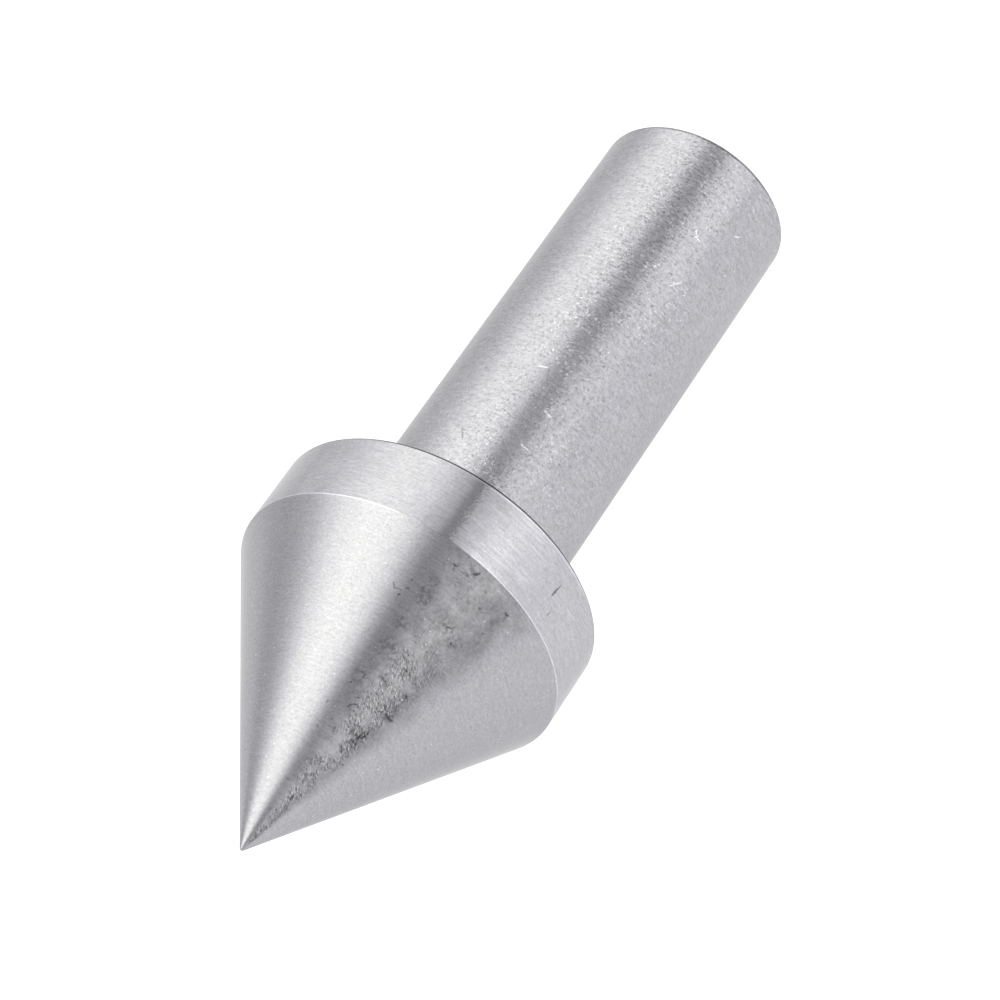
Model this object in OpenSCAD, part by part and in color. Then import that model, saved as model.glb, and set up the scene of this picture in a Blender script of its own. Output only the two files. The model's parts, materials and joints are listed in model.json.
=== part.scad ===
// Live center with a straight shank: a 60 degree head that turns on two ball
// bearings and a thrust ball, in front of a plain round shank.
// Lengths are in millimetres. The axis lies along Y, the point towards -Y and the
// shank towards +Y. The origin is on the axis, in the plane of the head's back face.

/* [Head] */
// Diameter of the head's collar
head_d = 20; // [19.6:0.1:24]
// Length of the collar, from the back face to the foot of the cone
collar_len = 4.6; // [4.4:0.1:8]
// Included angle of the point, in degrees
point_angle = 60; // [50:1:64]
// Radius left on the very tip
tip_r = 0.15; // [0.1:0.05:0.5]

/* [Shank] */
// Diameter of the shank
shank_d = 12; // [11:0.1:12.6]
// Length of shank behind the head
shank_len = 32.5; // [15:0.5:80]
// Chamfer on the shank's free end
shank_chamfer = 0.2; // [0.2:0.1:1]

/* [Bearings] */
// Ball diameter of the rear bearing
rear_ball_d = 2.381; // [2:0.001:2.4]
// Number of balls in the rear bearing
rear_ball_count = 9; // [6:1:10]
// Ball diameter of the front bearing
front_ball_d = 1; // [0.9:0.01:1.1]
// Number of balls in the front bearing
front_ball_count = 9; // [6:1:10]
// Diameter of the thrust ball
thrust_ball_d = 3; // [2.5:0.1:3]

/* [Hidden] */
$fn = 96;
eps = 0.01; // overrun of a cutting shape

// Sections are drawn as [radius, depth]. Depth runs along the axis from the head's
// back face: positive towards the point, negative along the shank.

// Head: outside
head_r = head_d / 2;
half_angle = point_angle / 2;
back_edge = 0.15;  // chamfer round the collar's back edge
foot_edge = 0.06;  // break between the collar and the cone
apex_z = collar_len + head_r / tan(half_angle);
tip_centre_z = apex_z - tip_r / sin(half_angle);
tip_foot_z = tip_centre_z + tip_r * sin(half_angle);

// Rear bearing: bore radius, outer radius, width and details
rear_bore_r = 4;
rear_outer_r = 8;
rear_w = 5;
rear_chamfer = 0.2;
rear_ball_r = rear_ball_d / 2;
rear_pitch_r = (rear_bore_r + rear_outer_r) / 2;
rear_land = 0.8;                          // the rings' lands lie this far off the pitch circle
rear_inner_land_r = rear_pitch_r - rear_land;
rear_outer_land_r = rear_pitch_r + rear_land;

// Front bearing
front_bore_r = 2;
front_outer_r = 4;
front_w = 3;
front_chamfer = 0.12;
front_ball_r = front_ball_d / 2;
front_pitch_r = (front_bore_r + front_outer_r) / 2;
front_land = 0.36;
front_inner_land_r = front_pitch_r - front_land;
front_outer_land_r = front_pitch_r + front_land;

// Races and running gaps
race_gap = 0.02;    // between a ball and the bottom of its race
race_ratio = 1.04;  // groove radius over ball radius

// Flat retaining ring that holds the rear bearing in the head
clip_t = 0.8;
clip_z = 0.5;
clip_w = 1.5;
clip_play = 0.1;                          // radial room behind the ring
clip_side_play = 0.05;
clip_groove_r = rear_outer_r + 0.45;
clip_outer_r = clip_groove_r - clip_play;
clip_gap_angle = 24;

// Wire ring that holds the rear bearing on the shank
wire_r = 0.35;
wire_groove_r = rear_bore_r - 0.3;
wire_groove_w = 2 * wire_r + 0.05;
wire_gap_angle = 40;

// Where the parts sit along the axis
rear_z = clip_z + clip_t;                 // back face of the rear bearing
rear_end_z = rear_z + rear_w;
rear_mid_z = rear_z + rear_w / 2;
front_z = 9.5;                            // back face of the front bearing
front_end_z = front_z + front_w;
front_mid_z = front_z + front_w / 2;
spigot_end_z = front_end_z + 0.3;
thrust_r = thrust_ball_d / 2;
thrust_z = spigot_end_z + race_gap + thrust_r;

// Bores inside the head
mouth_edge = 0.3;                         // lead-in chamfer at the mouth of each bearing's bore
relief_r = rear_outer_r - 0.9;
relief_end_z = rear_end_z + 1.1;
neck_r = front_outer_r + 1.2;
neck_end_z = front_z - 0.9;
recess_r = front_outer_r - 0.8;
pocket_r = thrust_r + 0.05;
drill_half_angle = 59;                    // half of a 118 degree drill point
drill_tip_z = thrust_z + (thrust_r + race_gap) / sin(drill_half_angle);
pocket_end_z = drill_tip_z - pocket_r / tan(drill_half_angle);

// Steps of the shank inside the head
shank_r = shank_d / 2;
shank_nose_z = 0.6;                       // the full diameter runs this far into the head
nose_chamfer = 0.2;
abutment_r = rear_bore_r + 0.8;
undercut = 0.15;
undercut_w = 0.3;
journal_end_z = rear_end_z + 1.2;
shoulder_r = front_bore_r + 0.45;
shoulder_taper_w = 0.5;
shoulder_end_z = front_z - 0.1;

// Centre hole in the shank's free end: a pilot hole and a 60 degree countersink
pilot_r = 0.8;
pilot_depth = 3.5;
countersink_half_angle = 30;
countersink_r = 1.675;
countersink_depth = (countersink_r - pilot_r) / tan(countersink_half_angle);

// Rear bearing's pressed shields and the spring wires that hold them
shield_t = 0.2;
shield_seat_r = rear_outer_land_r + 0.55;
shield_seat_z = rear_w / 2 - 0.6;
shield_play = 0.02;                       // radial room round a shield's rim
shield_dish = 0.25;                       // the web stands this far outside the rim
shield_slope = 0.2;                       // radial width of the slope between them
shield_inner_r = rear_inner_land_r + 0.12;
shield_bend_r = rear_outer_land_r - 0.2;  // where the rim ends and the slope starts
shield_wire_r = 0.15;
shield_wire_pitch_r = shield_seat_r - shield_play;
shield_wire_z = shield_seat_z + shield_t + shield_wire_r;
shield_wire_gap_angle = 30;
wire_room = 0.01;

// Rear bearing's ribbon cage
ribbon_t = 0.22;
ribbon_play = 0.07;
ribbon_w = 1.1;
ribbon_reach = rear_ball_r + ribbon_play + ribbon_t;
ribbon_inner_r = rear_pitch_r - ribbon_w / 2;
ribbon_outer_r = rear_pitch_r + ribbon_w / 2;

// Front bearing's shields and crown cage
small_shield_t = 0.12;
small_shield_z = front_w / 2 - 0.3;
small_seat_r = front_outer_land_r + 0.26;
small_shield_inner_r = front_inner_land_r + 0.1;
crown_play = 0.05;
crown_w = 0.56;
crown_front = 0.85;                       // the cage's closed side, in front of the balls
crown_fingers = 0.3;                      // how far its fingers reach behind the balls' middle

// ---- tools ----

// Turns the drawing axis, +Z, to point along -Y. Drawing +Y then points up.
module on_axis() rotate([90, 0, 0]) children();

module on_rear() on_axis() translate([0, 0, rear_mid_z]) children();

module on_front() on_axis() translate([0, 0, front_mid_z]) children();

// A rectangle between two radii and two depths.
module block(r1, r2, z1, z2)
    translate([r1, z1]) square([r2 - r1, z2 - z1]);

// Turns a section about the axis, leaving a gap at the top.
module spring_turn(gap_angle)
    rotate(90 + gap_angle / 2) rotate_extrude(angle = 360 - gap_angle) children();

// ---- head ----

module head_outline() {
    polygon([
        [0, 0],
        [head_r - back_edge, 0],
        [head_r, back_edge],
        [head_r, collar_len - foot_edge],
        [head_r - foot_edge * sin(half_angle), collar_len + foot_edge * cos(half_angle)],
        [tip_r * cos(half_angle), tip_foot_z],
        [0, tip_foot_z]
    ]);
    intersection() {
        translate([0, tip_centre_z]) circle(tip_r);
        block(0, tip_r, tip_centre_z, apex_z);
    }
}

// Lead-in chamfer and bore for a bearing, from depth z1 to z2.
module bearing_bore(r, z1, z2)
    polygon([[0, z1], [r + mouth_edge, z1], [r, z1 + mouth_edge], [r, z2], [0, z2]]);

module head_bores() {
    bearing_bore(rear_outer_r, 0, rear_end_z);
    block(0, clip_groove_r, clip_z - clip_side_play, rear_z);
    block(0, relief_r, rear_end_z - eps, relief_end_z);
    block(0, neck_r, relief_end_z - eps, neck_end_z);
    bearing_bore(front_outer_r, neck_end_z, front_end_z);
    block(0, recess_r, front_end_z - eps, spigot_end_z);
    polygon([
        [0, spigot_end_z - eps],
        [pocket_r, spigot_end_z - eps],
        [pocket_r, pocket_end_z],
        [0, drill_tip_z]
    ]);
}

module head()
    color("silver") on_axis() rotate_extrude() difference() {
        head_outline();
        head_bores();
    }

// ---- shank ----

module shank_outline()
    polygon([
        [0, -shank_len],
        [shank_r - shank_chamfer, -shank_len],
        [shank_r, shank_chamfer - shank_len],
        [shank_r, shank_nose_z - nose_chamfer],
        [shank_r - nose_chamfer, shank_nose_z],
        [abutment_r, shank_nose_z],
        [abutment_r, rear_z],
        [rear_bore_r - undercut, rear_z],
        [rear_bore_r - undercut, rear_z + undercut_w],
        [rear_bore_r, rear_z + undercut_w],
        [rear_bore_r, rear_end_z],
        [wire_groove_r, rear_end_z],
        [wire_groove_r, rear_end_z + wire_groove_w],
        [rear_bore_r, rear_end_z + wire_groove_w],
        [rear_bore_r, journal_end_z],
        [shoulder_r, journal_end_z + shoulder_taper_w],
        [shoulder_r, shoulder_end_z],
        [front_bore_r, shoulder_end_z],
        [front_bore_r, spigot_end_z - nose_chamfer],
        [front_bore_r - nose_chamfer, spigot_end_z],
        [0, spigot_end_z]
    ]);

module centre_hole()
    polygon([
        [0, -shank_len - eps],
        [countersink_r + eps * tan(countersink_half_angle), -shank_len - eps],
        [pilot_r, countersink_depth - shank_len],
        [pilot_r, pilot_depth - shank_len],
        [0, pilot_depth - shank_len]
    ]);

module shank()
    color("silver") on_axis() rotate_extrude() difference() {
        shank_outline();
        centre_hole();
    }

// ---- retaining rings and thrust ball ----

module head_retaining_ring()
    color("dimgray") on_axis() spring_turn(clip_gap_angle)
        block(clip_outer_r - clip_w, clip_outer_r, clip_z, rear_z);

module journal_snap_ring()
    color("dimgray") on_axis() spring_turn(wire_gap_angle)
        translate([wire_groove_r + wire_r, rear_end_z + wire_r]) circle(wire_r);

module thrust_ball()
    color("gainsboro") on_axis() translate([0, 0, thrust_z]) sphere(thrust_r);

// ---- ball bearings, drawn with depth 0 at their middle ----

module chamfered_ring(r1, r2, w, c)
    polygon([
        [r1, c - w / 2], [r1 + c, -w / 2], [r2 - c, -w / 2], [r2, c - w / 2],
        [r2, w / 2 - c], [r2 - c, w / 2], [r1 + c, w / 2], [r1, w / 2 - c]
    ]);

// Groove of a ring's race. Its bottom clears the balls by race_gap: outside the
// pitch circle for side 1, inside it for side -1.
module race(pitch_r, ball_r, side)
    translate([pitch_r + side * (ball_r + race_gap - race_ratio * ball_r), 0])
        circle(race_ratio * ball_r);

// Copies its child round the pitch circle, once for each ball.
module at_balls(pitch_r, count)
    for (i = [0 : count - 1]) rotate(i * 360 / count) translate([pitch_r, 0, 0]) children();

// Draws its child on the front side and mirrored on the back side.
module both_sides() {
    children();
    mirror([0, 1]) children();
}

// Rear bearing

module rear_bearing_outer_ring()
    color("silver") on_rear() rotate_extrude() difference() {
        chamfered_ring(rear_outer_land_r, rear_outer_r, rear_w, rear_chamfer);
        race(rear_pitch_r, rear_ball_r, 1);
        both_sides() {
            block(0, shield_seat_r, shield_seat_z, rear_w);
            translate([shield_wire_pitch_r, shield_wire_z]) circle(shield_wire_r + wire_room);
        }
    }

module rear_bearing_inner_ring()
    color("silver") on_rear() rotate_extrude() difference() {
        chamfered_ring(rear_bore_r, rear_inner_land_r, rear_w, rear_chamfer);
        race(rear_pitch_r, rear_ball_r, -1);
    }

module rear_bearing_balls()
    color("gainsboro") on_rear() at_balls(rear_pitch_r, rear_ball_count) sphere(rear_ball_r);

// Half of a pressed ribbon cage: flats between the balls, a half pocket round each.
module ribbon_half()
    difference() {
        intersection() {
            union() {
                cylinder(r = ribbon_outer_r, h = ribbon_t);
                at_balls(rear_pitch_r, rear_ball_count) sphere(ribbon_reach);
            }
            cylinder(r = ribbon_outer_r, h = ribbon_reach);
        }
        translate([0, 0, -eps]) cylinder(r = ribbon_inner_r, h = ribbon_reach + 2 * eps);
        at_balls(rear_pitch_r, rear_ball_count) sphere(rear_ball_r + ribbon_play);
    }

module rear_bearing_cage_front_half()
    color("silver") on_rear() ribbon_half();

module rear_bearing_cage_rear_half()
    color("silver") on_rear() mirror([0, 0, 1]) ribbon_half();

// Pressed shield: a flat rim in the outer ring's seat and a web dished outwards.
module rear_shield()
    rotate_extrude() polygon([
        [shield_seat_r - shield_play, shield_seat_z],
        [shield_seat_r - shield_play, shield_seat_z + shield_t],
        [shield_bend_r + shield_slope / 2, shield_seat_z + shield_t],
        [shield_bend_r - shield_slope / 2, shield_seat_z + shield_dish + shield_t],
        [shield_inner_r, shield_seat_z + shield_dish + shield_t],
        [shield_inner_r, shield_seat_z + shield_dish],
        [shield_bend_r - shield_slope, shield_seat_z + shield_dish],
        [shield_bend_r, shield_seat_z]
    ]);

module rear_shield_clip()
    spring_turn(shield_wire_gap_angle)
        translate([shield_wire_pitch_r, shield_wire_z]) circle(shield_wire_r);

module rear_bearing_front_shield()
    color("lightgray") on_rear() rear_shield();

module rear_bearing_rear_shield()
    color("lightgray") on_rear() mirror([0, 0, 1]) rear_shield();

module rear_bearing_front_shield_clip()
    color("gray") on_rear() rear_shield_clip();

module rear_bearing_rear_shield_clip()
    color("gray") on_rear() mirror([0, 0, 1]) rear_shield_clip();

// Front bearing

module front_bearing_outer_ring()
    color("silver") on_front() rotate_extrude() difference() {
        chamfered_ring(front_outer_land_r, front_outer_r, front_w, front_chamfer);
        race(front_pitch_r, front_ball_r, 1);
        both_sides() block(0, small_seat_r, small_shield_z, front_w);
    }

module front_bearing_inner_ring()
    color("silver") on_front() rotate_extrude() difference() {
        chamfered_ring(front_bore_r, front_inner_land_r, front_w, front_chamfer);
        race(front_pitch_r, front_ball_r, -1);
    }

module front_bearing_balls()
    color("gainsboro") on_front() at_balls(front_pitch_r, front_ball_count) sphere(front_ball_r);

// Crown cage: a ring in front of the balls, with fingers that reach back between them.
module front_bearing_cage()
    color("silver") on_front() difference() {
        translate([0, 0, -crown_fingers]) rotate_extrude()
            block(front_pitch_r - crown_w / 2, front_pitch_r + crown_w / 2,
                  0, crown_front + crown_fingers);
        at_balls(front_pitch_r, front_ball_count) sphere(front_ball_r + crown_play);
    }

module small_shield()
    rotate_extrude()
        block(small_shield_inner_r, small_seat_r, small_shield_z, small_shield_z + small_shield_t);

module front_bearing_front_shield()
    color("lightgray") on_front() small_shield();

module front_bearing_rear_shield()
    color("lightgray") on_front() mirror([0, 0, 1]) small_shield();

// ---- assembly ----

head();
shank();
head_retaining_ring();
journal_snap_ring();
thrust_ball();
rear_bearing_outer_ring();
rear_bearing_inner_ring();
rear_bearing_balls();
rear_bearing_cage_front_half();
rear_bearing_cage_rear_half();
rear_bearing_front_shield();
rear_bearing_rear_shield();
rear_bearing_front_shield_clip();
rear_bearing_rear_shield_clip();
front_bearing_outer_ring();
front_bearing_inner_ring();
front_bearing_balls();
front_bearing_cage();
front_bearing_front_shield();
front_bearing_rear_shield();
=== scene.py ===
import bpy
import json
import math
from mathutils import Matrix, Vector

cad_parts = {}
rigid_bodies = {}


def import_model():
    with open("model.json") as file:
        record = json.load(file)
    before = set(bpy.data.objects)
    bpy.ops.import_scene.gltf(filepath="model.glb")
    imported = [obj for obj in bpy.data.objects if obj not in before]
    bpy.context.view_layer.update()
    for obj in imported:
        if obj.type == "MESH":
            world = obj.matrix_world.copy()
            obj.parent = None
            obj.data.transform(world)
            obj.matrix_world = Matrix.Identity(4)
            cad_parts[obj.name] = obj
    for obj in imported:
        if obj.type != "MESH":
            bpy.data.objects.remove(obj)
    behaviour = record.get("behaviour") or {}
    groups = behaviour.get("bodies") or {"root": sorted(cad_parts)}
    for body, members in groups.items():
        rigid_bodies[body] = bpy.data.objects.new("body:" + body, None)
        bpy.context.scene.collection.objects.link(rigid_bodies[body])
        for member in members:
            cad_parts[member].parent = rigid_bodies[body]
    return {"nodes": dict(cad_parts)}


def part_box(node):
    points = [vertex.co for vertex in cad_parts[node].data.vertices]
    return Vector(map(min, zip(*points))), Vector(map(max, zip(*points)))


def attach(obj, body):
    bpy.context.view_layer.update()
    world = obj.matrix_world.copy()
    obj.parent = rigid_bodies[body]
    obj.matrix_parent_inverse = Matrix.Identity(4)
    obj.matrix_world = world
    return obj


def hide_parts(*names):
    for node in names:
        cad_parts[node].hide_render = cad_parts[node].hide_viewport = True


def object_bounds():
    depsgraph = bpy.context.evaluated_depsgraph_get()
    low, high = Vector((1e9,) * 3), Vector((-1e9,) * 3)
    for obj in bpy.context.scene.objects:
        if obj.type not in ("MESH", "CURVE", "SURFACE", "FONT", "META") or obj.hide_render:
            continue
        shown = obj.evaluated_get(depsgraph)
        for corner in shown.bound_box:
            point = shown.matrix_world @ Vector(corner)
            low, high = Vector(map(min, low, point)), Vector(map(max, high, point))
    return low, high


MM = 0.001

# ---- camera: a long lens looking down on the object, over the point's shoulder ----
CAMERA_AZIMUTH = math.radians(27.9)
CAMERA_ELEVATION = math.radians(49.6)
CAMERA_DISTANCE = 238.6 * MM     # from the middle of the object
CAMERA_LENS = 151.4              # focal length and sensor width, in millimetres
CAMERA_SENSOR = 36
CAMERA_NEAR = 10 * MM            # nothing nearer than this is drawn
AIM_RIGHT = 1.04 * MM            # the aim lies this far right of and above the middle
AIM_UP = 0.31 * MM

# ---- light tent: brightness against the angle round the object's axis ----
# Angle in degrees from +X towards +Z, and the brightness there. The ends are the same
# so that the tent has no seam.
TENT = [
    (-180, 0.72), (-168, 0.85), (-90, 1.1), (0, 1.1), (20, 1.15), (36, 1.55), (50, 1.3),
    (60, 0.98), (68, 0.49), (78, 0.44), (86, 0.85), (96, 1.6), (108, 2.05), (124, 2.15),
    (138, 1.9), (148, 1.5), (158, 1.05), (168, 0.8), (180, 0.72),
]
LEAN = 4.0                       # the bands turn by this many degrees as Y grows by one,
LEAN_FROM = -0.4                 # and stand at the angles above at this Y
WARM = 0.93                      # blue share of the brightest light
# Towards its two ends the tent fades into an even brightness: that brightness, how much
# of it, and the Y of a direction at which the fade starts and is done.
HAZE = (1.12, 0.42, 0.3, 0.5)
TENT_FRONT = (1.2, 1.0, -0.66, -0.86)
TENT_BACK = (0.6, 1.0, 0.76, 0.96)
BACKDROP = 1.1                   # seen directly: over white, so the picture's rim isn't grey

# ---- floor: a plain round light table ----
TABLE_R = 110 * MM
TABLE_WHITE = 0.25               # how much of the tent's light it gives back
TABLE_GLOW = 0.78                # its own light, which the camera sees as plain white
TABLE_DIM = 0.58                 # the share of its light that is left at its dim side
TABLE_FADE = (10 * MM, -90 * MM)  # the fade starts and ends at these places across it

# ---- finish ----
STEEL = 0.43                     # reflectance of bare steel
COOL = (1.01, 1.0, 1.07)         # its faint blue cast
RIM = 0.86                       # how much it keeps of the glare at a glancing angle

# ---- sizes, in millimetres ----
# Sections are drawn as in the CAD, as (radius, depth). Depth runs along the axis from
# the head's back face: positive towards the point, negative along the shank.
HALF_ANGLE = math.radians(30)
TIP_R = 0.15
COLLAR_LEN = 4.6
BACK_EDGE = 0.15
MOUTH_EDGE = 0.3
CLIP_GROOVE = (8.45, 0.45)       # radius, and depth where it starts
RELIEF = (7.1, 7.4)              # radius, and depth where it ends
NECK = (5.2, 8.6)                # likewise
RECESS_R = 3.2
POCKET_R = 1.55
DRILL_HALF_ANGLE = math.radians(59)
RACE_GAP = 0.02                  # room in front of the thrust ball
JOURNAL_R = 4.0
ABUTMENT_R = 4.8
NOSE_Z = 0.6
NOSE_CHAMFER = 0.2
UNDERCUT = 0.15
UNDERCUT_W = 0.3
WIRE_GROOVE = (3.7, 0.75)        # radius and width
JOURNAL_END = 7.5
SHOULDER_R = 2.45
SHOULDER_TAPER = 0.5
SHOULDER_END = 9.4
SPIGOT_R = 2.0
SHANK_CHAMFER = 0.2
PILOT_R = 0.8
PILOT_DEPTH = 3.5
COUNTERSINK_R = 1.675
COUNTERSINK_HALF_ANGLE = math.radians(30)

SEGMENTS = 288                   # faces round a turned piece
TIP_STEPS = 6                    # along the ball of the tip
EDGE_STEPS = 5                   # and along a rounded edge
# Rounding of the turned edges: the usual one, a keen one, and those of the collar's two
# edges and of the shank's end
EDGE = 0.04
KEEN_EDGE = 0.02
COLLAR_FOOT = 0.06
COLLAR_BACK = 0.03
SHANK_RIM = (0.08, 0.06)         # the chamfer's edge on the outside, and on the end face
CENTRE_EDGE = 0.03

# ---- patterns ----
SEED_STEP = (37.1, 11.7, 23.9)   # a seed of 1 moves a noise this far
SCATTER_STEP = (13.7, 7.3)       # and a scatter this far, along and round
FACE_RINGS = 0.73                # the radius counts this much in ring lines, for flat faces


def clear_scene():
    for thing in list(bpy.data.objects):
        bpy.data.objects.remove(thing)


clear_scene()
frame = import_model()
cad_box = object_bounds()
low, high = cad_box
middle = (low + high) / 2


def outer_radius(node):
    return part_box(node)[1].x / MM


def depths(node):
    """Where a node starts and ends along the axis, as depths."""
    box_low, box_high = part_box(node)
    return -box_high.y / MM, -box_low.y / MM


HEAD_R = outer_radius("head")
SHANK_R = outer_radius("shank")


# ---- node helpers ----

class Value:
    """A number inside a node tree, so that nodes can be written as sums."""

    def __init__(self, tree, socket):
        self.tree = tree
        self.socket = socket

    def make(self, operation, *terms):
        node = self.tree.nodes.new("ShaderNodeMath")
        node.operation = operation
        for socket, term in zip(node.inputs, terms):
            plug(self.tree, term, socket)
        return Value(self.tree, node.outputs[0])

    def __add__(self, other):
        return self.make("ADD", self, other)

    def __radd__(self, other):
        return self.make("ADD", self, other)

    def __sub__(self, other):
        return self.make("SUBTRACT", self, other)

    def __rsub__(self, other):
        return self.make("SUBTRACT", other, self)

    def __mul__(self, other):
        return self.make("MULTIPLY", self, other)

    def __rmul__(self, other):
        return self.make("MULTIPLY", self, other)

    def __abs__(self):
        return self.make("ABSOLUTE", self)

    def below(self, limit):
        return self.make("LESS_THAN", self, limit)

    def ramp(self, start, end):
        """0 at start and 1 at end, with a smooth step between them."""
        node = self.tree.nodes.new("ShaderNodeMapRange")
        node.interpolation_type = "SMOOTHSTEP"
        plug(self.tree, self, node.inputs["Value"])
        if start < end:
            node.inputs["From Min"].default_value = start
            node.inputs["From Max"].default_value = end
            return Value(self.tree, node.outputs[0])
        node.inputs["From Min"].default_value = end
        node.inputs["From Max"].default_value = start
        return 1 - Value(self.tree, node.outputs[0])

    def band(self, start, end, soft):
        """1 between start and end, fading to 0 outside them."""
        return self.ramp(start - soft, start) * self.ramp(end + soft, end)


def plug(tree, value, socket):
    if isinstance(value, Value):
        value = value.socket
    if isinstance(value, bpy.types.NodeSocket):
        tree.links.new(value, socket)
    else:
        socket.default_value = value


def split(tree, vector):
    node = tree.nodes.new("ShaderNodeSeparateXYZ")
    plug(tree, vector, node.inputs[0])
    return [Value(tree, socket) for socket in node.outputs]


def join(tree, *values):
    node = tree.nodes.new("ShaderNodeCombineXYZ")
    for socket, value in zip(node.inputs, values):
        plug(tree, value, socket)
    return node.outputs[0]


# ---- stage ----

def tent_bands(tree, turn):
    """Colour of the tent at each angle round the axis, as a share of its brightest."""
    node = tree.nodes.new("ShaderNodeValToRGB")
    node.color_ramp.interpolation = "EASE"
    stops = node.color_ramp.elements
    while len(stops) < len(TENT):
        stops.new(0.5)
    top = max(bright for _, bright in TENT)
    for stop, (angle, bright) in zip(stops, TENT):
        level = bright / top
        blue = 1 - (1 - WARM) * max(0.0, 2 * level - 1)
        stop.position = angle / 360 + 0.5
        stop.color = (level, level, level * blue, 1)
    plug(tree, turn, node.inputs[0])
    return node.outputs[0], top


def mix_colour(tree, share, a, b):
    node = tree.nodes.new("ShaderNodeMix")
    node.data_type = "RGBA"
    plug(tree, share, node.inputs[0])
    plug(tree, a, node.inputs[6])
    plug(tree, b, node.inputs[7])
    return node.outputs[2]


def grey(level):
    return (level, level, level, 1)


def make_world():
    world = bpy.data.worlds.new("tent")
    bpy.context.scene.world = world
    world.use_nodes = True
    tree = world.node_tree
    tree.nodes.clear()
    x, y, z = split(tree, tree.nodes.new("ShaderNodeTexCoord").outputs["Generated"])
    turn = z.make("ARCTAN2", z, x) * (0.5 / math.pi) + 0.5
    turn = turn - (y - LEAN_FROM) * (LEAN / 360)
    colour, top = tent_bands(tree, turn)
    for bright, share, start, end in (HAZE, TENT_FRONT, TENT_BACK):
        colour = mix_colour(tree, y.ramp(start, end) * share, colour, grey(bright / top))
    # the backdrop itself is seen as plain white
    direct = tree.nodes.new("ShaderNodeLightPath").outputs["Is Camera Ray"]
    colour = mix_colour(tree, direct, colour, grey(BACKDROP / top))
    background = tree.nodes.new("ShaderNodeBackground")
    plug(tree, colour, background.inputs["Color"])
    background.inputs["Strength"].default_value = top
    out = tree.nodes.new("ShaderNodeOutputWorld")
    plug(tree, background.outputs[0], out.inputs[0])


def make_floor():
    mesh = bpy.data.meshes.new("floor")
    turns = [math.radians(i) for i in range(0, 360, 5)]
    rim = [(TABLE_R * math.cos(t), middle.y + TABLE_R * math.sin(t), low.z) for t in turns]
    mesh.from_pydata(rim, [], [range(len(rim))])
    floor = bpy.data.objects.new("floor", mesh)
    bpy.context.scene.collection.objects.link(floor)
    material = bpy.data.materials.new("floor")
    material.use_nodes = True
    tree = material.node_tree
    shader = tree.nodes["Principled BSDF"]
    shader.inputs["Base Color"].default_value = grey(TABLE_WHITE)
    shader.inputs["Roughness"].default_value = 0.9
    shader.inputs["Specular IOR Level"].default_value = 0.0
    shader.inputs["Emission Color"].default_value = grey(1)
    x = split(tree, tree.nodes.new("ShaderNodeTexCoord").outputs["Object"])[0]
    lit = TABLE_DIM + (1 - TABLE_DIM) * x.ramp(TABLE_FADE[1], TABLE_FADE[0])
    direct = tree.nodes.new("ShaderNodeLightPath").outputs["Is Camera Ray"]
    glow = lit * TABLE_GLOW
    plug(tree, glow.make("MAXIMUM", glow, direct), shader.inputs["Emission Strength"])
    mesh.materials.append(material)


def make_camera():
    data = bpy.data.cameras.new("camera")
    data.lens = CAMERA_LENS
    data.sensor_width = CAMERA_SENSOR
    data.clip_start = CAMERA_NEAR
    camera = bpy.data.objects.new("camera", data)
    bpy.context.scene.collection.objects.link(camera)
    a, e = CAMERA_AZIMUTH, CAMERA_ELEVATION
    back = Vector((math.sin(a) * math.cos(e), -math.cos(a) * math.cos(e), math.sin(e)))
    right = Vector((math.cos(a), math.sin(a), 0))
    up = back.cross(right)
    camera.location = middle + AIM_RIGHT * right + AIM_UP * up + CAMERA_DISTANCE * back
    camera.rotation_euler = back.to_track_quat("Z", "Y").to_euler()
    bpy.context.scene.camera = camera


# ---- metal finishes ----

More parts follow.
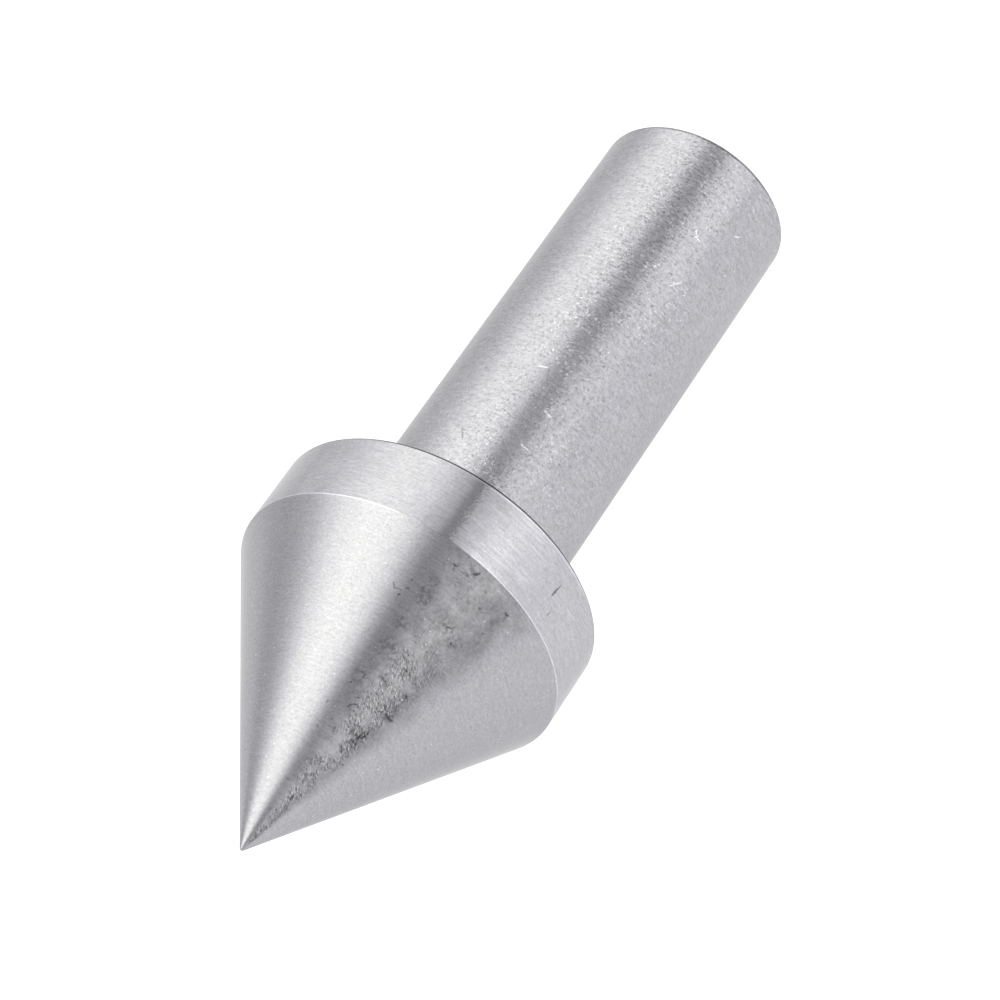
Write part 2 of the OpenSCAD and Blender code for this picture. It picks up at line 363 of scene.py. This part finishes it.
class Metal:
    """A metal material: its shader, places on the piece in millimetres, and patterns."""

    def __init__(self, name, anisotropy=0.0):
        self.material = bpy.data.materials.new(name)
        self.material.use_nodes = True
        self.tree = self.material.node_tree
        self.shader = self.tree.nodes["Principled BSDF"]
        self.shader.inputs["Metallic"].default_value = 1
        self.shader.inputs["Specular Tint"].default_value = grey(RIM)
        if anisotropy:
            self.shader.inputs["Anisotropic"].default_value = anisotropy
            self.shader.inputs["Anisotropic Rotation"].default_value = 0.25
            tangent = self.add("ShaderNodeTangent", direction_type="RADIAL", axis="Y")
            plug(self.tree, tangent.outputs[0], self.shader.inputs["Tangent"])
        scale = self.add("ShaderNodeVectorMath", operation="SCALE")
        plug(self.tree, self.add("ShaderNodeTexCoord").outputs["Object"], scale.inputs[0])
        scale.inputs["Scale"].default_value = 1 / MM
        self.place = scale.outputs[0]
        self.x, self.y, self.z = split(self.tree, self.place)
        self.radius = self.x.make("SQRT", self.x * self.x + self.z * self.z)
        self.turn = self.x.make("ARCTAN2", self.x, self.z)    # 0 at the top, towards +X
        self.degrees = self.turn * math.degrees(1)

    def add(self, kind, **settings):
        node = self.tree.nodes.new(kind)
        for key, value in settings.items():
            setattr(node, key, value)
        return node

    def noise(self, size, seed, detail=2.0, at=None):
        """Soft random value round 0.5, with blobs of about that size."""
        node = self.add("ShaderNodeTexNoise")
        moved = self.add("ShaderNodeVectorMath", operation="ADD")
        plug(self.tree, at or self.place, moved.inputs[0])
        moved.inputs[1].default_value = tuple(step * seed for step in SEED_STEP)
        plug(self.tree, moved.outputs[0], node.inputs["Vector"])
        node.inputs["Scale"].default_value = 1 / size
        node.inputs["Detail"].default_value = detail
        return Value(self.tree, node.outputs["Fac"])

    def rings(self, pitch, reach, seed):
        """Lines round the axis, about pitch apart and reach long."""
        along = (self.y + FACE_RINGS * self.radius) * (1 / pitch)
        at = join(self.tree, self.x * (1 / reach), along, self.z * (1 / reach))
        return self.noise(1, seed, 1.0, at)

    def wobble(self, flat, size, reach, seed):
        """The flat place, pushed about so that what is drawn on it is uneven."""
        along, around = flat
        along = along + reach * (self.noise(size, seed) - 0.5)
        return along, around + reach * (self.noise(size, seed + 0.5) - 0.5)

    def scatter(self, flat, cell, seed):
        """One point in each cell: the way to it along and round, and three random numbers."""
        along, around = flat
        node = self.add("ShaderNodeTexVoronoi", voronoi_dimensions="2D")
        a = along + SCATTER_STEP[0] * seed
        b = around + SCATTER_STEP[1] * seed
        plug(self.tree, join(self.tree, a, b, 0.0), node.inputs["Vector"])
        node.inputs["Scale"].default_value = 1 / cell
        point = split(self.tree, node.outputs["Position"])
        return a - point[0], b - point[1], split(self.tree, node.outputs["Color"])

    def spots(self, flat, cell, size, share, seed):
        """Round spots up to that size, in a share of the cells."""
        a, b, (first, second, _) = self.scatter(flat, cell, seed)
        away = a.make("SQRT", a * a + b * b)
        reach = size * (0.4 + 0.6 * first) * 0.5
        return away.make("DIVIDE", away, reach).ramp(1.0, 0.4) * second.below(share)

    def strokes(self, flat, cell, length, width, lean, spread, share, seed):
        """Short strokes in a share of the cells. A lean of 0 runs round the axis."""
        a, b, (first, second, third) = self.scatter(flat, cell, seed)
        angle = math.radians(spread) * (first - 0.5) + math.radians(lean)
        cos = angle.make("COSINE", angle)
        sin = angle.make("SINE", angle)
        across = abs(a * cos - b * sin)
        lengthways = abs(a * sin + b * cos)
        reach = (0.35 + 0.65 * third) * (length / 2)
        inside = lengthways.make("DIVIDE", lengthways, reach).ramp(1.0, 0.6)
        return inside * across.ramp(width / 2, width / 6) * second.below(share)

    def mark(self, flat, centre, length, width, lean):
        """One scratch with its centre at a flat place. A lean of 0 runs round the axis."""
        a = flat[0] - centre[0]
        b = flat[1] - centre[1]
        cos = math.cos(math.radians(lean))
        sin = math.sin(math.radians(lean))
        across = abs(a * cos - b * sin)
        lengthways = abs(a * sin + b * cos)
        return lengthways.ramp(length / 2, length / 4) * across.ramp(width / 2, width / 6)

    def foot_glint(self):
        """The break between cone and collar: a painted highlight, left out beside the top."""
        edge = self.y.band(-COLLAR_LEN - 0.02, -COLLAR_LEN + 0.02, 0.03)
        return edge * (1 - self.degrees.band(4, 22, 8))

    def bump(self, height):
        """Height in micrometres."""
        node = self.add("ShaderNodeBump")
        node.inputs["Distance"].default_value = 1e-6
        plug(self.tree, height, node.inputs["Height"])
        plug(self.tree, node.outputs[0], self.shader.inputs["Normal"])

    def colour(self, reflectance):
        node = self.add("ShaderNodeVectorMath", operation="SCALE")
        node.inputs[0].default_value = COOL
        plug(self.tree, reflectance, node.inputs["Scale"])
        plug(self.tree, node.outputs[0], self.shader.inputs["Base Color"])

    def finish(self, reflectance, roughness, height):
        self.colour(reflectance)
        plug(self.tree, roughness, self.shader.inputs["Roughness"])
        self.bump(height)
        return self.material


def cylinder_place(radius, turn, depth):
    """Flat place on a cylinder: along the axis and round it, in millimetres."""
    return -depth, math.radians(turn) * radius


def cone_place(turn, depth):
    """Flat place on the cone, as if it were rolled out."""
    radius = HEAD_R - (depth - COLLAR_LEN) * math.tan(HALF_ANGLE)
    slant = radius / math.sin(HALF_ANGLE)
    spread = math.radians(turn) * math.sin(HALF_ANGLE)
    return slant * math.cos(spread), slant * math.sin(spread)


# Single marks: turns are in degrees from the top towards +X, leans in degrees from a line
# round the axis, and the rest in millimetres.

# deep pits and scratches on the cone: turn, depth, length, width and lean
CONE_PITS = [
    (12, 7.7, 0.35, 0.09, -40), (14, 7.8, 0.5, 0.1, -5), (15.5, 8.0, 0.35, 0.16, 60),
    (27, 13.4, 0.8, 0.08, 34), (32, 11.6, 0.45, 0.16, -26), (37, 10.6, 0.5, 0.13, -33),
    (43, 12.5, 0.45, 0.2, -57), (48.5, 12.7, 0.8, 0.17, -31), (42.5, 12.8, 0.45, 0.13, 30),
    (45, 14.2, 0.7, 0.24, 70), (47, 14.1, 0.9, 0.16, 55), (40, 18.4, 0.5, 0.2, 80),
    (33, 5.1, 0.5, 0.18, 33), (26, 5.4, 0.35, 0.14, -10), (38.5, 7.8, 0.45, 0.12, 5),
    (50, 5.4, 0.4, 0.12, 7),
]
# dark smudges on it: turn, depth and size
CONE_SMUDGES = [
    (32, 5.2, 0.9), (26, 5.4, 0.7), (38, 7.9, 1.0), (43, 8.1, 0.9), (50, 5.5, 0.7),
    (24, 7.4, 1.2), (22, 9.0, 1.0), (23, 10.2, 1.3), (30, 10.4, 1.2), (21, 12.1, 1.1),
    (32, 11.7, 0.8), (38, 10.5, 0.9), (48, 12.6, 1.0), (45, 14.4, 1.2), (44, 15.2, 1.0),
    (26, 14.8, 0.7),
]


def cone_finish():
    """Polished cone with a stained stretch, chatter marks, pits and scratches."""
    m = Metal("cone_polished", anisotropy=0.6)
    slant = m.radius * (1 / math.sin(HALF_ANGLE))
    spread = m.turn * math.sin(HALF_ANGLE)
    flat = (slant * spread.make("COSINE", spread), slant * spread.make("SINE", spread))
    uneven = m.wobble(flat, 0.22, 0.3, 10)
    lines = m.rings(0.14, 1.5, 1)
    hairs = m.rings(0.08, 0.4, 2)
    grain = m.noise(0.13, 3)
    cloud = m.noise(2.2, 4, detail=3)
    blotch = m.noise(0.9, 5, detail=3)
    mottle = m.noise(0.22, 6, detail=3)
    # a stained stretch down the cone, with darker smudges in it
    side = m.degrees + 14 * (cloud - 0.5)
    stain = 0.30 * side.ramp(18, 27) * side.ramp(64, 50) + 0.11 * side.band(38, 48, 8)
    stain = stain + 0.03 * side.band(24, 31, 5)
    stain = stain * (1 + 1.5 * (blotch - 0.5) + 0.9 * (mottle - 0.5))
    smudge = 0.45 * blotch.ramp(0.56, 0.70) * side.band(24, 52, 8)
    for turn, depth, size in CONE_SMUDGES:
        here = m.mark(uneven, cone_place(turn, depth), size, size, 0)
        smudge = smudge.make("MAXIMUM", smudge, here)
    smudge = smudge * mottle.ramp(0.42, 0.62)
    # fine dark flecks where the stain is heaviest
    soot = m.noise(0.17, 12, detail=1).ramp(0.54, 0.66) * blotch.ramp(0.4, 0.54)
    soot = soot * side.band(21, 34, 6)
    # chatter and pits along one line of the cone
    track = m.degrees.band(32, 47, 7) * m.y.ramp(-7, -12) * blotch.ramp(0.34, 0.5)
    chatter = m.strokes(flat, 0.2, 0.36, 0.08, 117, 50, 0.8, 7) * track
    bright_chatter = m.strokes(flat, 0.2, 0.32, 0.06, 117, 50, 0.6, 8) * track
    pits = m.spots(uneven, 0.8, 0.26, 0.4, 9) * blotch.ramp(0.5, 0.6) * m.degrees.band(14, 54, 5)
    for turn, depth, length, width, lean in CONE_PITS:
        here = m.mark(uneven, cone_place(turn, depth), length, width, lean)
        pits = pits.make("MAXIMUM", pits, here)
    specks = m.spots(uneven, 0.8, 0.12, 0.4, 11)
    reflect = STEEL * (1 + 0.16 * (lines - 0.5) + 0.54 * (grain - 0.5) + 0.3 * (hairs - 0.5))
    reflect = reflect * (1 - stain) * (1 - 0.34 * smudge) * (1 - 0.2 * soot)
    reflect = reflect * (1 - 0.5 * chatter) * (1 - 0.62 * pits)
    reflect = reflect + 0.19 * bright_chatter + 0.26 * specks + 0.2 * m.foot_glint()
    # use has scuffed it more and more towards the tip
    rough = 0.20 + 0.09 * m.y.ramp(-11, -17)
    rough = rough + 0.06 * (lines - 0.5) + 0.12 * stain + 0.1 * chatter
    height = 0.2 * lines + 0.2 * hairs + 0.9 * grain - chatter - 2 * pits + 0.5 * bright_chatter
    return m.finish(reflect, rough, height)


def collar_finish():
    """Turned collar: faint lines round it, bright streaks and one dark nick."""
    m = Metal("collar_turned", anisotropy=0.7)
    flat = m.wobble((m.y, m.turn * HEAD_R), 0.25, 0.12, 10)
    lines = m.rings(0.16, 1.6, 11)
    hairs = m.rings(0.09, 0.7, 12)
    streaks = m.rings(0.11, 0.8, 13).ramp(0.64, 0.76)
    cloud = m.noise(3, 14, detail=3)
    grain = m.noise(0.15, 15)
    scuffs = m.strokes(flat, 1.6, 1.0, 0.1, 0, 20, 0.5, 16)
    nick = m.mark(flat, cylinder_place(HEAD_R, 58.6, 1.95), 1.1, 0.11, 84)
    nick_end = m.mark(flat, cylinder_place(HEAD_R, 58.3, 2.15), 0.8, 0.19, 84)
    nick = nick.make("MAXIMUM", nick, nick_end)
    small_nick = m.mark(flat, cylinder_place(HEAD_R, 61, 3.35), 0.4, 0.14, 80)
    # painted shade: the shadow of the gap in the break of the back edge, against the shank, and most
    # of it near the top
    back = m.y.ramp(-0.24, -0.17) * (0.35 + 0.65 * m.degrees.band(-10, 48, 30))
    # a painted highlight just in front of the back edge, on one side of the top
    back_highlight = m.y.band(-0.30, -0.22, 0.05) * m.degrees.band(20, 60, 20)
    # a painted highlight beside the top, with plainer turning lines, and painted shade along the top
    bright = m.degrees.band(30, 48, 10) * cloud.ramp(0.3, 0.6)
    worn = m.rings(0.2, 2.5, 17).ramp(0.5, 0.66) * m.degrees.band(26, 42, 10)
    top_shade = m.degrees.band(-16, 2, 12)
    # painted shade: a narrow dark band along it deepens the dark streak of the reflection, with a
    # fainter band beside it
    streak_shade = 0.36 * (m.degrees + 5 * (grain - 0.5)).band(17.6, 18.4, 3)
    streak_shade = streak_shade + 0.1 * m.degrees.band(20, 26, 6)
    reflect = STEEL * (1.16 + 0.18 * (lines - 0.5) + 0.42 * (hairs - 0.5) + 0.6 * (grain - 0.5))
    reflect = reflect * (1 + 0.2 * (cloud - 0.5) + 0.1 * bright - 0.1 * top_shade) * (1 - streak_shade)
    reflect = reflect + 0.06 * streaks + 0.08 * scuffs + 0.06 * worn
    reflect = reflect + 0.2 * m.foot_glint() + 0.12 * back_highlight
    reflect = reflect * (1 - 0.6 * nick) * (1 - 0.4 * small_nick) * (1 - 0.92 * back)
    rough = 0.19 + 0.1 * (lines - 0.5) + 0.08 * (cloud - 0.5)
    height = 0.4 * lines + 0.4 * hairs + 0.8 * grain + 0.5 * streaks - 12 * nick - 6 * small_nick
    return m.finish(reflect, rough, height)


# scratches that stand out on the shank: turn, depth, length, width and lean
SHANK_MARKS = [
    (23, -6.1, 0.7, 0.15, -8), (23, -8.9, 0.75, 0.15, -12), (6, -11.6, 0.7, 0.14, 20),
    (55, -28.1, 0.6, 0.1, 47), (33, -25.9, 0.5, 0.11, 115), (36, -25.6, 0.45, 0.11, -10),
    (34.5, -25.7, 0.4, 0.1, 67), (40, -22.0, 1.2, 0.07, 60),
]


def shank_finish():
    """Satin shank: fine grain, short turning strokes, and many small bright nicks."""
    m = Metal("shank_satin", anisotropy=0.45)
    end = high.y / MM
    flat = m.wobble((m.y, m.turn * SHANK_R), 0.18, 0.22, 20)
    grain = m.noise(0.12, 21, detail=1)
    peel = m.noise(0.25, 30, detail=1)
    lines = m.rings(0.15, 0.6, 22)
    cloud = m.noise(3.5, 23, detail=3)
    cluster = m.noise(2.2, 24, detail=2).ramp(0.42, 0.60)
    worn = cluster * m.degrees.band(4, 46, 18)
    # bright and dark flecks where it has been knocked and handled
    bright_flecks = m.noise(0.2, 31, detail=2).ramp(0.58, 0.68) * worn
    dark_flecks = m.noise(0.2, 32, detail=2).ramp(0.57, 0.67) * m.degrees.band(-6, 40, 18)
    dings = m.spots(flat, 0.5, 0.22, 0.4, 25) * worn
    stray = m.spots(flat, 1.3, 0.18, 0.5, 26) * m.degrees.band(-30, 70, 20)
    pits = m.spots(flat, 1.2, 0.24, 0.5, 27) * m.degrees.band(-20, 66, 10)
    nicks = m.strokes(flat, 0.6, 0.45, 0.09, 0, 180, 0.45, 28) * worn
    far = m.degrees.band(4, 24, 10) * m.y.ramp(11, 18)
    # painted shade: a dark band under the reflection's dark streak, heavier next to the head where
    # the head shades it, and a stretch by the far end that is brighter
    streak_shade = (m.degrees + 10 * (peel - 0.5)).band(13, 19, 5) * (0.15 + 0.1 * m.y.ramp(7, 2))
    far_lift = 0.1 * m.degrees.band(29, 40, 10) * m.y.ramp(16, 23)
    strokes = m.strokes(flat, 0.34, 0.45, 0.1, 0, 30, 0.8, 29) * far
    bright_strokes = m.strokes(flat, 0.4, 0.4, 0.07, 0, 30, 0.6, 33) * far
    hairline = m.mark(flat, cylinder_place(SHANK_R, -10, -5.1), 1.1, 0.1, -62)
    # the far rim is darker, and most along the top
    rim = m.y.ramp(end - 0.37, end - 0.31) * (0.2 + 0.8 * m.degrees.band(-12, 44, 24))
    marks = bright_strokes * 0.35
    for turn, depth, length, width, lean in SHANK_MARKS:
        scratch = m.mark(flat, cylinder_place(SHANK_R, turn, depth), length, width, lean)
        marks = marks.make("MAXIMUM", marks, scratch)
    reflect = STEEL * (1.04 + 0.6 * (grain - 0.5) + 0.4 * (peel - 0.5) + 0.4 * (lines - 0.5))
    reflect = reflect * (1 + 0.14 * (cloud - 0.5)) * (1 - 0.3 * pits) * (1 - 0.34 * strokes)
    reflect = reflect * (1 - streak_shade) * (1 + far_lift) * (1 - 0.22 * dark_flecks)
    reflect = reflect * (1 - 0.4 * hairline) * (1 - 0.55 * rim)
    reflect = reflect + 0.14 * bright_flecks + 0.24 * dings + 0.2 * stray + 0.2 * nicks + 0.42 * marks
    rough = 0.28 + 0.12 * (cloud - 0.5) + 0.08 * (grain - 0.5)
    height = 3.6 * grain + 4 * peel + 1.6 * lines + 5 * bright_flecks - 5 * dark_flecks
    height = height - 7 * dings - 7 * pits - 5 * nicks - 4 * strokes - 6 * marks
    return m.finish(reflect, rough, height)


def bore_finish():
    """Turned inside of the head and its back face."""
    m = Metal("bore_turned", anisotropy=0.5)
    lines = m.rings(0.14, 4.0, 31)
    hairs = m.rings(0.07, 1.5, 32)
    cloud = m.noise(2.5, 33, detail=3)
    reflect = STEEL * (0.96 + 0.35 * (lines - 0.5) + 0.2 * (hairs - 0.5) + 0.2 * (cloud - 0.5))
    rough = 0.3 + 0.12 * (lines - 0.5) + 0.1 * (cloud - 0.5)
    return m.finish(reflect, rough, 1.5 * lines + 0.8 * hairs)


def end_finish():
    """Faced end of the shank, its chamfer and its centre hole."""
    m = Metal("end_faced", anisotropy=0.55)
    lines = m.rings(0.13, 5.0, 41)
    hairs = m.rings(0.06, 1.5, 42)
    grain = m.noise(0.2, 43)
    cloud = m.noise(2.0, 44, detail=3)
    reflect = STEEL * (0.97 + 0.4 * (lines - 0.5) + 0.25 * (grain - 0.5) + 0.15 * (cloud - 0.5))
    rough = 0.28 + 0.12 * (lines - 0.5) + 0.08 * (cloud - 0.5)
    return m.finish(reflect, rough, 2 * lines + hairs + 0.6 * grain)


def ground_finish():
    """Ground bearing rings."""
    m = Metal("rings_ground", anisotropy=0.4)
    lines = m.rings(0.06, 3.0, 51)
    cloud = m.noise(2.0, 52, detail=2)
    reflect = 0.56 + 0.1 * (lines - 0.5) + 0.06 * (cloud - 0.5)
    rough = 0.17 + 0.06 * (lines - 0.5) + 0.04 * (cloud - 0.5)
    return m.finish(reflect, rough, 0.3 * lines)


def ball_finish():
    """Lapped balls, with the faintest wear tracks."""
    m = Metal("balls_lapped")
    haze = m.noise(0.6, 61, detail=2)
    reflect = 0.66 + 0.05 * (haze - 0.5)
    rough = 0.07 + 0.05 * (haze - 0.5)
    return m.finish(reflect, rough, 0.05 * haze)


def sheet_finish():
    """Pressed sheet: faint drawing lines and orange-peel satin."""
    m = Metal("sheet_pressed", anisotropy=0.3)
    lines = m.rings(0.09, 2.0, 71)
    peel = m.noise(0.12, 72, detail=2)
    cloud = m.noise(1.5, 73, detail=2)
    reflect = 0.46 + 0.14 * (lines - 0.5) + 0.1 * (peel - 0.5) + 0.1 * (cloud - 0.5)
    rough = 0.3 + 0.1 * (peel - 0.5) + 0.1 * (cloud - 0.5)
    return m.finish(reflect, rough, 0.6 * lines + 1.2 * peel)


def spring_finish():
    """Dark spring steel, oiled, worn lighter in patches."""
    m = Metal("spring_dark", anisotropy=0.2)
    grain = m.noise(0.08, 81, detail=2)
    cloud = m.noise(1.2, 82, detail=3)
    wear = cloud.ramp(0.5, 0.8)
    reflect = 0.06 + 0.05 * (grain - 0.5) + 0.09 * wear
    rough = 0.36 + 0.15 * (grain - 0.5) - 0.08 * wear
    return m.finish(reflect, rough, 1.5 * grain)


# ---- turned pieces ----

class Outline:
    """The section of a turned piece: runs between corners, each with its own finish."""

    def __init__(self, radius, depth):
        self.corners = [(radius, depth, 0.0)]
        self.finishes = []
        self.finish = 0

    def to(self, radius, depth, rounding=EDGE):
        """A straight run to a corner, which is rounded off by that radius."""
        self.corners.append((radius, depth, rounding))
        self.finishes.append(self.finish)
        return self

    def runs(self):
        """Short straight runs: two points, the normal at each, and the finish."""
        points = [Vector(corner[:2]) for corner in self.corners]
        ways = [(b - a).normalized() for a, b in zip(points, points[1:])]
        normals = [Vector((-w.y, w.x)) for w in ways]
        out = []
        start = points[0]
        for i, normal in enumerate(normals):
            end = points[i + 1]
            last = i + 1 == len(normals)
            bend = 0.0 if last else normal.angle_signed(normals[i + 1])
            rounding = self.corners[i + 1][2]
            if last or not rounding:
                out.append((start, end, normal, normal, self.finishes[i]))
                start = end
                continue
            trim = rounding * math.tan(abs(bend) / 2)
            side = 1 if bend > 0 else -1      # 1 where the corner stands out
            arc_start = end - ways[i] * trim
            centre = arc_start + side * rounding * -normal
            out.append((start, arc_start, normal, normal, self.finishes[i]))
            before = arc_start
            for step in range(1, EDGE_STEPS + 1):
                after_normal = normal.slerp(normals[i + 1], step / EDGE_STEPS)
                before_normal = normal.slerp(normals[i + 1], (step - 1) / EDGE_STEPS)
                after = centre + side * rounding * after_normal
                out.append((before, after, before_normal, after_normal, self.finishes[i + 1]))
                before = after
            start = before
        return out


def turned(name, outline, finishes, body, stands_for):
    """Turns an outline about the Y axis into a closed mesh with exact normals."""
    vertices = []

    def ring(point):
        first = len(vertices)
        radius = point.x * MM
        if radius < 1e-9:
            vertices.append((0, -point.y * MM, 0))
            return [first] * SEGMENTS
        for i in range(SEGMENTS):
            angle = 2 * math.pi * i / SEGMENTS
            vertices.append((radius * math.cos(angle), -point.y * MM, radius * math.sin(angle)))
        return list(range(first, first + SEGMENTS))

    faces = []
    normals = []
    slots = []
    runs = outline.runs()
    before = ring(runs[0][0])
    for _, end, start_normal, end_normal, finish in runs:
        after = ring(end)
        for i in range(SEGMENTS):
            j = (i + 1) % SEGMENTS
            corners = [(before[i], i, start_normal), (after[i], i, end_normal)]
            corners += [(after[j], i + 1, end_normal), (before[j], i + 1, start_normal)]
            if before[i] == before[j]:
                corners.pop()
            if after[i] == after[j]:
                corners.pop(2)
            faces.append([vertex for vertex, _, _ in corners])
            slots.append(finish)
            for _, step, normal in corners:
                angle = 2 * math.pi * step / SEGMENTS
                normals.append((normal.x * math.cos(angle), -normal.y, normal.x * math.sin(angle)))
        before = after
    mesh = bpy.data.meshes.new(name)
    mesh.from_pydata(vertices, [], faces)
    for finish in finishes:
        mesh.materials.append(finish)
    mesh.polygons.foreach_set("material_index", slots)
    mesh.polygons.foreach_set("use_smooth", [True] * len(faces))
    mesh.normals_split_custom_set(normals)
    piece = bpy.data.objects.new(name, mesh)
    bpy.context.scene.collection.objects.link(piece)
    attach(piece, body)
    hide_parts(stands_for)


def head_outline():
    tip_z = depths("head")[1]
    rear_r = outer_radius("rear_bearing_outer_ring")
    rear_z, rear_end = depths("rear_bearing_outer_ring")
    front_r = outer_radius("front_bearing_outer_ring")
    front_end = depths("front_bearing_outer_ring")[1]
    spigot_end = depths("shank")[1]
    ball_low, ball_end = depths("thrust_ball")
    ball_r = (ball_end - ball_low) / 2
    drill_tip = (ball_low + ball_end) / 2 + (ball_r + RACE_GAP) / math.sin(DRILL_HALF_ANGLE)
    pocket_end = drill_tip - POCKET_R / math.tan(DRILL_HALF_ANGLE)
    relief_r, relief_end = RELIEF
    neck_r, neck_end = NECK
    clip_r, clip_z = CLIP_GROOVE

    out = Outline(0, tip_z)
    for step in range(1, TIP_STEPS + 1):
        angle = step / TIP_STEPS * (math.pi / 2 - HALF_ANGLE)
        out.to(TIP_R * math.sin(angle), tip_z - TIP_R * (1 - math.cos(angle)), 0.0)
    out.to(HEAD_R, COLLAR_LEN, COLLAR_FOOT)
    out.finish = 1
    out.to(HEAD_R, BACK_EDGE, COLLAR_BACK).to(HEAD_R - BACK_EDGE, 0, COLLAR_BACK)
    out.finish = 2
    out.to(rear_r + MOUTH_EDGE, 0).to(rear_r, MOUTH_EDGE, KEEN_EDGE)
    out.to(rear_r, clip_z, KEEN_EDGE).to(clip_r, clip_z, 0)
    out.to(clip_r, rear_z, 0).to(rear_r, rear_z, 0)
    out.to(rear_r, rear_end, 0).to(relief_r, rear_end, 0).to(relief_r, relief_end, 0)
    out.to(neck_r, relief_end).to(neck_r, neck_end, 0)
    out.to(front_r + MOUTH_EDGE, neck_end).to(front_r, neck_end + MOUTH_EDGE, 0)
    out.to(front_r, front_end, 0).to(RECESS_R, front_end, 0).to(RECESS_R, spigot_end, 0)
    out.to(POCKET_R, spigot_end).to(POCKET_R, pocket_end, 0).to(0, drill_tip, 0)
    return out


def shank_outline():
    end, spigot_end = depths("shank")
    rear_z, rear_end = depths("rear_bearing_inner_ring")
    countersink = (COUNTERSINK_R - PILOT_R) / math.tan(COUNTERSINK_HALF_ANGLE)
    groove_r, groove_w = WIRE_GROOVE

    out = Outline(0, spigot_end)
    out.finish = 2
    out.to(SPIGOT_R - NOSE_CHAMFER, spigot_end, KEEN_EDGE)
    out.to(SPIGOT_R, spigot_end - NOSE_CHAMFER, KEEN_EDGE)
    out.to(SPIGOT_R, SHOULDER_END, 0).to(SHOULDER_R, SHOULDER_END, KEEN_EDGE)
    out.to(SHOULDER_R, JOURNAL_END + SHOULDER_TAPER).to(JOURNAL_R, JOURNAL_END)
    out.to(JOURNAL_R, rear_end + groove_w, 0).to(groove_r, rear_end + groove_w, 0)
    out.to(groove_r, rear_end, 0).to(JOURNAL_R, rear_end, 0)
    out.to(JOURNAL_R, rear_z + UNDERCUT_W, 0).to(JOURNAL_R - UNDERCUT, rear_z + UNDERCUT_W, 0)
    out.to(JOURNAL_R - UNDERCUT, rear_z, 0).to(ABUTMENT_R, rear_z, 0).to(ABUTMENT_R, NOSE_Z, 0)
    out.to(SHANK_R - NOSE_CHAMFER, NOSE_Z).to(SHANK_R, NOSE_Z - NOSE_CHAMFER)
    out.finish = 0
    out.to(SHANK_R, end + SHANK_CHAMFER, SHANK_RIM[0])
    out.finish = 1
    out.to(SHANK_R - SHANK_CHAMFER, end, SHANK_RIM[1]).to(COUNTERSINK_R, end, CENTRE_EDGE)
    out.to(PILOT_R, end + countersink, 0).to(PILOT_R, end + PILOT_DEPTH, 0)
    out.to(0, end + PILOT_DEPTH, 0)
    return out


# ---- assembly ----

make_world()
make_floor()
make_camera()
bpy.context.scene.view_settings.view_transform = "Standard"

bore = bore_finish()
head_finishes = [cone_finish(), collar_finish(), bore]
shank_finishes = [shank_finish(), end_finish(), bore]
turned("head_turned", head_outline(), head_finishes, "head", "head")
turned("shank_turned", shank_outline(), shank_finishes, "shank", "shank")

# the other nodes keep their CAD meshes
kept_finishes = {
    "spring": spring_finish(),
    "ball": ball_finish(),
    "race": ground_finish(),
    "sheet": sheet_finish(),
}


def kind_of(name):
    if name.endswith(("retaining_ring", "snap_ring", "clip")):
        return "spring"
    if name.endswith(("ball", "balls")):
        return "ball"
    if name.endswith(("outer_ring", "inner_ring")):
        return "race"
    return "sheet"


for name, node in frame["nodes"].items():
    node.data.materials.clear()
    node.data.materials.append(kept_finishes[kind_of(name)])
